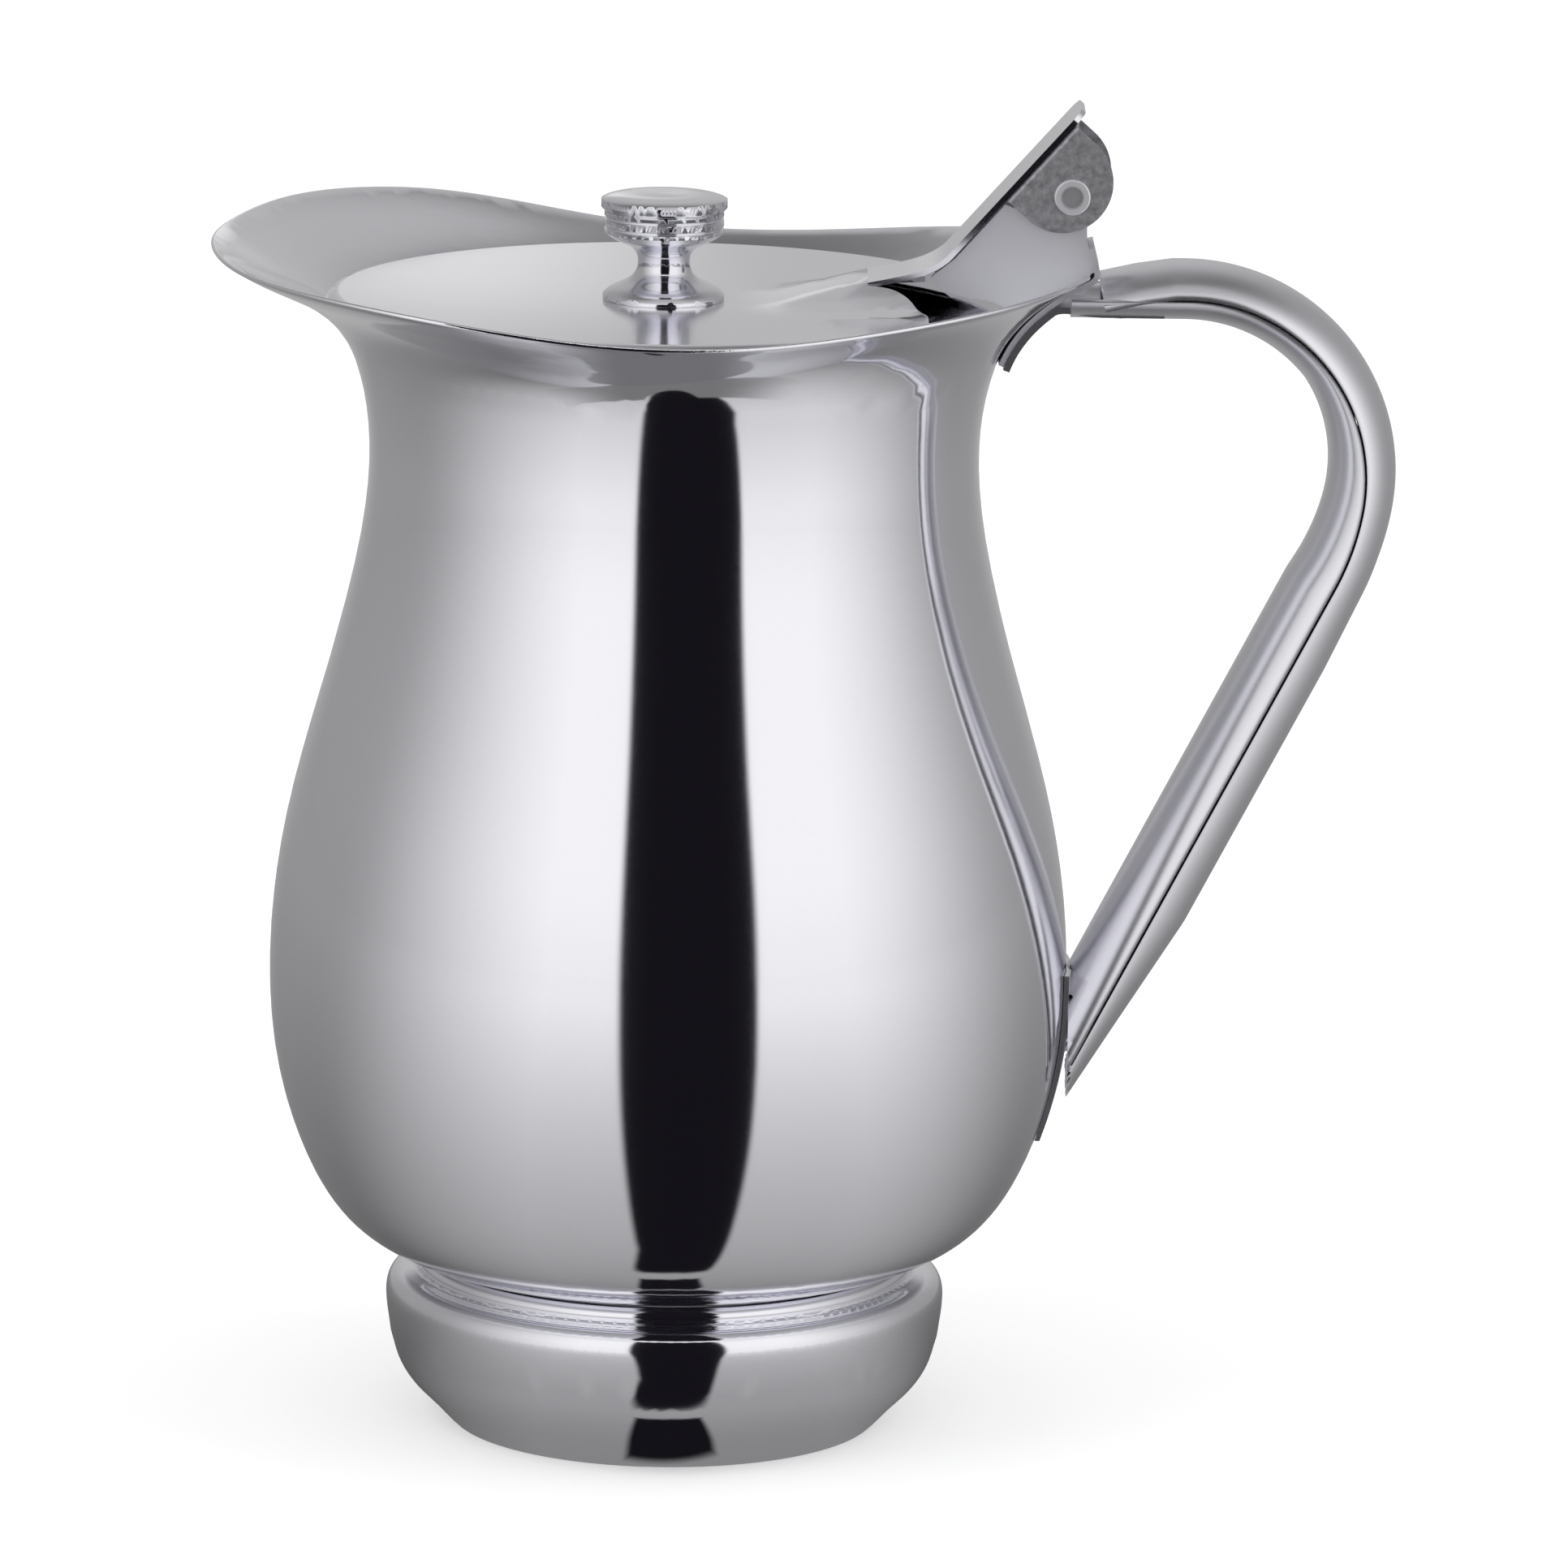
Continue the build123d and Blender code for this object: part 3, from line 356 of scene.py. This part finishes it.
def patch_mask(tree, x, y):
    """One on the dark patch beside the foot."""
    across = math_node(tree, "ABSOLUTE", math_node(tree, "SUBTRACT", x, PATCH_MIDDLE[0]))
    along = math_node(tree, "ABSOLUTE", math_node(tree, "SUBTRACT", y, PATCH_MIDDLE[1]))
    across = math_node(tree, "SUBTRACT", PATCH_HALF[0], across)
    along = math_node(tree, "SUBTRACT", PATCH_HALF[1], along)
    inside = math_node(tree, "MINIMUM", across, along)
    return map_range(tree, inside, -PATCH_SOFTNESS, PATCH_SOFTNESS)


def floor_sheen_material():
    """Floor as the polish shows it: darker near the jug as a painted shadow, with the dark runner and patch.
    """
    material, tree = glowing_material("floor_sheen")
    x, y, _ = place_axes(tree)
    dark = math_node(tree, "MAXIMUM", runner_mask(tree, x, y), patch_mask(tree, x, y))
    glow_with_dark(tree, floor_level(tree, x, y), dark)
    return material


def glow_material():
    """Soft bright patch that fades to nothing, so its card has no edge."""
    material, tree = glowing_material("back_glow")
    x, _, z = place_axes(tree)
    across = math_node(tree, "DIVIDE", math_node(tree, "SUBTRACT", x, GLOW_MIDDLE[0]), GLOW_REACH[0])
    upward = math_node(tree, "DIVIDE", math_node(tree, "SUBTRACT", z, GLOW_MIDDLE[1]), GLOW_REACH[1])
    reach = math_node(tree, "SQRT", squared_reach(tree, across, upward))
    fading_glow(tree, map_range(tree, reach, 0.0, 1.0, 1.0, 0.0), GLOW_LEVEL)
    return material


def neck_card_material():
    """Grey paper with soft ends and a rounded outer edge, clear from below."""
    material, tree = glowing_material("neck_card_paper")
    x, y, _ = place_axes(tree)
    ends = map_range(tree, math_node(tree, "ABSOLUTE", x), *NECK_CARD_FADE, 1.0, 0.0)
    curve = math_node(tree, "MULTIPLY", math_node(tree, "MULTIPLY", x, x), NECK_CARD_CURVE)
    edge = math_node(tree, "ADD", curve, NECK_CARD_EDGE)
    edge = math_node(tree, "MINIMUM", edge, NECK_CARD_LIMIT)
    inside = math_node(tree, "ADD", edge, y)
    edge = map_range(tree, inside, -NECK_CARD_SOFTNESS, NECK_CARD_SOFTNESS)
    geometry = tree.nodes.new("ShaderNodeNewGeometry")
    above = math_node(tree, "SUBTRACT", 1.0, geometry.outputs["Backfacing"])
    share = math_node(tree, "MULTIPLY", math_node(tree, "MULTIPLY", ends, edge), above)
    fading_glow(tree, share, NECK_CARD_SHADE)
    return material


def mirror_only(piece, name, material):
    """Names a stage piece, gives it its material and shows it to mirror rays alone."""
    piece.name = name
    piece.data.materials.append(material)
    piece.visible_camera = False
    piece.visible_diffuse = False
    piece.visible_shadow = False
    piece.visible_transmission = False


def add_tent():
    """Round light tent and its floor, which only mirror rays see."""
    bpy.ops.object.select_all(action="DESELECT")
    bpy.ops.mesh.primitive_uv_sphere_add(radius=TENT_RADIUS, segments=TENT_SEGMENTS, ring_count=TENT_RINGS)
    mirror_only(bpy.context.object, "tent", tent_material())
    bpy.ops.mesh.primitive_circle_add(vertices=TENT_SEGMENTS, radius=TENT_RADIUS, fill_type="NGON")
    mirror_only(bpy.context.object, "tent_floor", floor_sheen_material())


def add_back_card():
    """Upright card behind the jug that carries the soft bright patch."""
    bpy.ops.mesh.primitive_plane_add(size=GLOW_SIZE)
    card = bpy.context.object
    for corner in card.data.vertices:
        across, upward, _ = corner.co
        corner.co = (across + GLOW_MIDDLE[0], GLOW_PLACE, upward + GLOW_MIDDLE[1])
    mirror_only(card, "back_card", glow_material())


def add_neck_card():
    """Small flat card in front of the neck."""
    bpy.ops.mesh.primitive_plane_add(size=2.0)
    card = bpy.context.object
    middle = (NECK_CARD_NEAR + NECK_CARD_FAR) / 2
    half = (NECK_CARD_NEAR - NECK_CARD_FAR) / 2
    for corner in card.data.vertices:
        corner.co = (corner.co.x * NECK_CARD_HALF, middle + corner.co.y * half, NECK_CARD_HEIGHT)
    mirror_only(card, "neck_card", neck_card_material())


def add_floor():
    """Plain pale floor, white to the camera, that keeps the shadow."""
    bpy.ops.object.select_all(action="DESELECT")
    bpy.ops.mesh.primitive_plane_add(size=FLOOR_SIZE)
    floor = bpy.context.object
    floor.name = "floor"
    material, tree = glowing_material("floor_paper")
    paper = tree.nodes.new("ShaderNodeBsdfDiffuse")
    paper.inputs["Color"].default_value = (FLOOR_SHADE, FLOOR_SHADE, FLOOR_SHADE, 1.0)
    path = tree.nodes.new("ShaderNodeLightPath")
    lift = tree.nodes.new("ShaderNodeEmission")
    strength = math_node(tree, "MULTIPLY", path.outputs["Is Camera Ray"], FLOOR_LIFT)
    tree.links.new(strength, lift.inputs["Strength"])
    both = tree.nodes.new("ShaderNodeAddShader")
    tree.links.new(paper.outputs[0], both.inputs[0])
    tree.links.new(lift.outputs[0], both.inputs[1])
    output = tree.nodes.new("ShaderNodeOutputMaterial")
    tree.links.new(both.outputs[0], output.inputs["Surface"])
    floor.data.materials.append(material)
    floor.visible_glossy = False


def add_lamp(name, place, energy):
    """Soft square lamp that looks at the jug and isn't seen in its polish."""
    data = bpy.data.lights.new(name, "AREA")
    data.size = LAMP_SIZE
    data.energy = energy
    lamp = bpy.data.objects.new(name, data)
    bpy.context.scene.collection.objects.link(lamp)
    lamp.location = place
    aim = Vector(LAMP_AIM) - Vector(place)
    lamp.rotation_euler = aim.to_track_quat("-Z", "Y").to_euler()
    lamp.visible_glossy = False
    lamp.visible_camera = False


def noise_node(group, detail):
    """Noise over the places of a piece's surface."""
    place = group.nodes.new("ShaderNodeTexCoord")
    noise = group.nodes.new("ShaderNodeTexNoise")
    noise.inputs["Detail"].default_value = detail
    group.links.new(place.outputs["Object"], noise.inputs["Vector"])
    return noise


def steel_finish_group():
    """Shared polish: fine hairlines, and a little change of shade and shine."""
    group = bpy.data.node_groups.new("steel_finish", "ShaderNodeTree")
    for name in ("Hairline Size", "Shade", "Shine", "Shine Change", "Tint Change"):
        group.interface.new_socket(name, in_out="INPUT", socket_type="NodeSocketFloat")
    group.interface.new_socket("Color", in_out="OUTPUT", socket_type="NodeSocketColor")
    group.interface.new_socket("Roughness", in_out="OUTPUT", socket_type="NodeSocketFloat")
    group.interface.new_socket("Hairlines", in_out="OUTPUT", socket_type="NodeSocketFloat")
    inputs = group.nodes.new("NodeGroupInput").outputs
    outputs = group.nodes.new("NodeGroupOutput").inputs
    hair = noise_node(group, HAIR_DETAIL)
    hair.inputs["Roughness"].default_value = HAIR_ROUGHNESS
    group.links.new(inputs["Hairline Size"], hair.inputs["Scale"])
    cloud = noise_node(group, CLOUD_DETAIL)
    cloud.inputs["Scale"].default_value = CLOUD_SIZE
    cloud_change = math_node(group, "SUBTRACT", cloud.outputs["Fac"], 0.5)
    cloud_shine = math_node(group, "MULTIPLY", cloud_change, inputs["Shine Change"])
    hair_change = math_node(group, "SUBTRACT", hair.outputs["Fac"], 0.5)
    hair_shine = math_node(group, "MULTIPLY", hair_change, inputs["Shine Change"])
    shine = math_node(group, "ADD", cloud_shine, hair_shine)
    rough = math_node(group, "ADD", inputs["Shine"], shine, clamp=True)
    shade = math_node(group, "MULTIPLY", hair_change, inputs["Tint Change"])
    shade = math_node(group, "ADD", inputs["Shade"], shade, clamp=True)
    tint = group.nodes.new("ShaderNodeCombineColor")
    for socket, part in zip(tint.inputs, STEEL_TINT):
        group.links.new(math_node(group, "MULTIPLY", shade, part), socket)
    group.links.new(tint.outputs[0], outputs["Color"])
    group.links.new(rough, outputs["Roughness"])
    group.links.new(hair.outputs["Fac"], outputs["Hairlines"])
    return group


def steel(name, group, shade, shine, hair_size=900.0, hair_depth=0.0, tint_change=0.02):
    """Steel with its own shade, shine and hairlines."""
    material = bpy.data.materials.new(name)
    material.use_nodes = True
    tree = material.node_tree
    shader = tree.nodes["Principled BSDF"]
    shader.inputs["Metallic"].default_value = 1.0
    finish = tree.nodes.new("ShaderNodeGroup")
    finish.node_tree = group
    finish.inputs["Hairline Size"].default_value = hair_size
    finish.inputs["Shade"].default_value = shade
    finish.inputs["Shine"].default_value = shine
    finish.inputs["Shine Change"].default_value = SHINE_CHANGE
    finish.inputs["Tint Change"].default_value = tint_change
    tree.links.new(finish.outputs["Color"], shader.inputs["Base Color"])
    tree.links.new(finish.outputs["Roughness"], shader.inputs["Roughness"])
    if hair_depth > 0:
        bump = tree.nodes.new("ShaderNodeBump")
        bump.inputs["Strength"].default_value = 1.0
        bump.inputs["Distance"].default_value = hair_depth
        tree.links.new(finish.outputs["Hairlines"], bump.inputs["Height"])
        tree.links.new(bump.outputs["Normal"], shader.inputs["Normal"])
    return material


def pin_steel(group):
    """Steel of the pin, with a painted dark reflection in the middle of its riveted heads."""
    material = steel("pin_painted_reflection", group, shade=0.98, shine=0.50)
    tree = material.node_tree
    low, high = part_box("hinge_pin")
    x, _, z = place_axes(tree)
    across = math_node(tree, "SUBTRACT", x, (low[0] + high[0]) / 2)
    upward = math_node(tree, "SUBTRACT", z, (low[2] + high[2]) / 2)
    reach = math_node(tree, "SQRT", squared_reach(tree, across, upward))
    edge = map_range(tree, reach, PIN_MIDDLE - PIN_BLUR, PIN_MIDDLE + PIN_BLUR)
    # Painted reflection: the middle of each head is darkened to the dark tint, and the rest keeps the light
    # tint
    tint = tree.nodes.new("ShaderNodeMix")
    tint.data_type = "RGBA"
    tree.links.new(edge, tint.inputs[0])
    tint.inputs[6].default_value = PIN_PAINTED_REFLECTION
    tint.inputs[7].default_value = PIN_LIGHT
    tree.links.new(tint.outputs[2], tree.nodes["Principled BSDF"].inputs["Base Color"])
    return material


def side_direction(angle):
    """Direction in the side view, by its angle from +X."""
    return Vector((math.cos(math.radians(angle)), 0, math.sin(math.radians(angle))))


def arc_points(middle, radius, start, end):
    """Points of a side-view arc, about a step apart, without its first one."""
    count = max(2, round(abs(math.radians(end - start)) * radius / STRAP_STEP))
    turns = [start + (end - start) * index / count for index in range(1, count + 1)]
    return [middle + side_direction(turn) * radius for turn in turns]


def straight_points(start, end):
    """Points of a straight stretch, about a step apart, without its first one."""
    count = max(2, round((end - start).length / STRAP_STEP))
    return [start.lerp(end, index / count) for index in range(1, count + 1)]


def seam_path(first_points):
    """Points of the seam from its top end over the bend and down the run."""
    middle = Vector((SEAM_TOP_MIDDLE[0], 0, SEAM_TOP_MIDDLE[1]))
    path = [first_points[0]]
    for point in first_points[1:]:
        path += straight_points(path[-1], point)
    path += straight_points(path[-1], middle + Vector((0, 0, SEAM_TOP_RADIUS)))
    path += arc_points(middle, SEAM_TOP_RADIUS, 90.0, SEAM_SIDE_START)
    side_middle = middle + side_direction(SEAM_SIDE_START) * (SEAM_TOP_RADIUS - SEAM_SIDE_RADIUS)
    path += arc_points(side_middle, SEAM_SIDE_RADIUS, SEAM_SIDE_START, SEAM_SIDE_END)
    down = side_direction(SEAM_SIDE_END - 90.0)
    return path + straight_points(path[-1], path[-1] + down * SEAM_RUN)


def open_for_edit(piece):
    """Takes one piece into edit mode with all of it selected."""
    bpy.ops.object.select_all(action="DESELECT")
    bpy.context.view_layer.objects.active = piece
    piece.select_set(True)
    bpy.ops.object.mode_set(mode="EDIT")
    bpy.ops.mesh.select_all(action="SELECT")


def sweep_strap(strap, path, depths, outward):
    """Lays a flat grid out along the seam as a rounded channel."""
    last = len(path) - 1
    lengths = [0.0]
    for start, end in zip(path, path[1:]):
        lengths.append(lengths[-1] + (end - start).length)
    for vertex in strap.data.vertices:
        row = round((vertex.co.y + 0.5) * last)
        turn = math.pi * (vertex.co.x + 0.5)
        ahead = (path[min(row + 1, last)] - path[max(row - 1, 0)]).normalized()
        outer = Vector((-ahead.z, 0, ahead.x)) * outward
        depth = np.interp(lengths[row], *zip(*depths)) - SEAM_GAP / 2
        across = math.cos(turn) * STRAP_HALF
        rise = max(math.sin(turn), 0.0) ** STRAP_ROUNDING * depth + SEAM_GAP / 2
        vertex.co = path[row] + outer * rise + Vector((0, across, 0))


def face_outwards(strap, seam_middle):
    """Turns the faces of a channel away from its seam."""
    faces = strap.data.polygons
    middle = faces[len(faces) // 2 + STRAP_AROUND // 2]
    if middle.normal.dot(middle.center - seam_middle) < 0:
        open_for_edit(strap)
        bpy.ops.mesh.flip_normals()
        bpy.ops.object.mode_set(mode="OBJECT")


def cut_lower_end(strap):
    """Cuts a channel off upright beside the belly."""
    open_for_edit(strap)
    bpy.ops.mesh.bisect(plane_co=(SEAM_CUT_X, 0, 0), plane_no=(1, 0, 0), use_fill=False, clear_inner=False)
    bpy.ops.mesh.select_all(action="DESELECT")
    bpy.ops.object.mode_set(mode="OBJECT")
    low = SEAM_TOP_MIDDLE[1] - SEAM_TOP_RADIUS
    for vertex in strap.data.vertices:
        vertex.select = vertex.co.x < SEAM_CUT_X - MERGE_DISTANCE and vertex.co.z < low
    bpy.ops.object.mode_set(mode="EDIT")
    bpy.ops.mesh.delete(type="VERT")
    bpy.ops.object.mode_set(mode="OBJECT")


def strap_half(name, path, depths, outward):
    """One pressed half of the handle: a curved sheet swept along the seam and given its thickness."""
    bpy.ops.object.select_all(action="DESELECT")
    bpy.ops.mesh.primitive_grid_add(x_subdivisions=STRAP_AROUND, y_subdivisions=len(path) - 1, size=1.0)
    strap = bpy.context.object
    strap.name = name
    sweep_strap(strap, path, depths, outward)
    face_outwards(strap, path[len(path) // 2])
    wall = strap.modifiers.new("wall", "SOLIDIFY")
    wall.thickness = STRAP_WALL
    wall.offset = -1.0
    bpy.ops.object.modifier_apply(modifier=wall.name)
    cut_lower_end(strap)
    bpy.ops.object.shade_smooth_by_angle(angle=math.radians(EDGE_ANGLE))
    return strap


def add_handle():
    """Both halves of the handle: the outer one starts at the dip, the inner one at its lip."""
    dip = [Vector((x, 0, z)) for x, z in SEAM_DIP]
    outer = strap_half("handle_outer_half", seam_path(dip), OUTER_DEPTHS, 1.0)
    lip = [Vector((SEAM_LIP_X, 0, SEAM_TOP_MIDDLE[1] + SEAM_TOP_RADIUS))]
    inner = strap_half("handle_inner_half", seam_path(lip), INNER_DEPTHS, -1.0)
    for half, node in ((outer, "handle_outer_shell"), (inner, "handle_inner_shell")):
        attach(half, "jug")
        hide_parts(node)
    return outer, inner


def merged_copy(node_name, name):
    """Copy of a node as one joined and smoothly shaded mesh."""
    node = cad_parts[node_name]
    copy = bpy.data.objects.new(name, node.data.copy())
    bpy.context.scene.collection.objects.link(copy)
    open_for_edit(copy)
    bpy.ops.mesh.remove_doubles(threshold=MERGE_DISTANCE)
    bpy.ops.object.mode_set(mode="OBJECT")
    bpy.ops.object.shade_smooth_by_angle(angle=math.radians(EDGE_ANGLE))
    return copy


def even_tilts(heights, length, rise):
    """Gives the outer wall of the belly one tilt at each height."""
    level = np.round(heights / BELLY_STEP).astype(int)
    tilts = np.arctan2(rise, length)
    levels = np.unique(level)
    middles = [heights[level == one].mean() for one in levels]
    means = [tilts[level == one].mean() for one in levels]
    tilts = np.interp(heights, middles, means)
    return np.cos(tilts), np.sin(tilts)


def turn_shading(mesh, middle, top, has_belly):
    """Points the shading of a turned mesh straight out from its axis, keeping its tilt."""
    corners = np.array([corner.vector for corner in mesh.corner_normals])
    places = np.array([mesh.vertices[loop.vertex_index].co for loop in mesh.loops])
    outward = places[:, :2] - np.array([middle, 0.0])
    reach = np.linalg.norm(outward, axis=1)
    turned = (places[:, 2] < top) & (reach > AXIS_REACH)
    outward[turned] /= reach[turned][:, None]
    lean = (corners[:, :2] * outward).sum(1)
    length = np.hypot(corners[:, 0], corners[:, 1]) * np.sign(lean)
    rise = corners[:, 2].copy()
    if has_belly:
        belly = turned & (lean > 0) & (places[:, 2] > BELLY_LOW)
        length[belly], rise[belly] = even_tilts(places[belly, 2], length[belly], rise[belly])
    corners[turned, :2] = outward[turned] * length[turned][:, None]
    corners[turned, 2] = rise[turned]
    corners /= np.linalg.norm(corners, axis=1)[:, None]
    mesh.normals_split_custom_set([tuple(corner) for corner in corners])


def polished_copy(node_name, name, body, middle, top):
    """Copy of a turned node whose shading turns evenly about its axis, so that reflections run true."""
    copy = merged_copy(node_name, name)
    turn_shading(copy.data, middle, top, has_belly=node_name == "jug_body")
    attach(copy, body)
    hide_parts(node_name)
    return copy


def give(piece, material):
    """Sets a piece's only material."""
    piece.data.materials.clear()
    piece.data.materials.append(material)


def finish_pieces():
    """Makes the pieces that replace solids and gives everything its steel."""
    group = steel_finish_group()
    body = steel("polished_body", group, shade=0.90, shine=0.07)
    lid = steel("polished_lid", group, shade=0.88, shine=0.13, hair_depth=0.000004)
    knob = steel("polished_knob", group, shade=0.86, shine=0.09)
    handle = steel("satin_handle", group, shade=0.86, shine=0.26)
    hinge = steel("mottled_hinge", group, shade=0.50, shine=0.50, hair_size=700.0, hair_depth=0.00002,
                  tint_change=0.75)
    bracket = steel("brushed_bracket", group, shade=0.96, shine=0.48)
    pin = pin_steel(group)
    plain = steel("plain_steel", group, shade=0.80, shine=0.28, hair_depth=0.000004)
    finishes = {
        "jug_body": body, "foot_ring": body, "lid": lid, "lid_knob": knob,
        "handle_outer_shell": handle, "handle_inner_shell": handle,
        "hinge_saddle": hinge, "hinge_pin": pin, "hinge_bracket": bracket,
        "handle_top_plate": plain, "handle_lower_plate": plain, "handle_top_rivet": plain,
        "knob_washer": plain, "knob_screw": plain,
    }
    for name, material in finishes.items():
        give(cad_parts[name], material)
    for node_name, name, rides, middle, top in TURNED_PIECES:
        give(polished_copy(node_name, name, rides, middle, top), finishes[node_name])
    for half in add_handle():
        give(half, handle)


bpy.context.scene.view_settings.view_transform = "Standard"
finish_pieces()
add_camera()
add_world()
add_tent()
add_back_card()
add_neck_card()
add_floor()
for lamp_name, lamp_place, lamp_energy in LAMPS:
    add_lamp(lamp_name, lamp_place, lamp_energy)
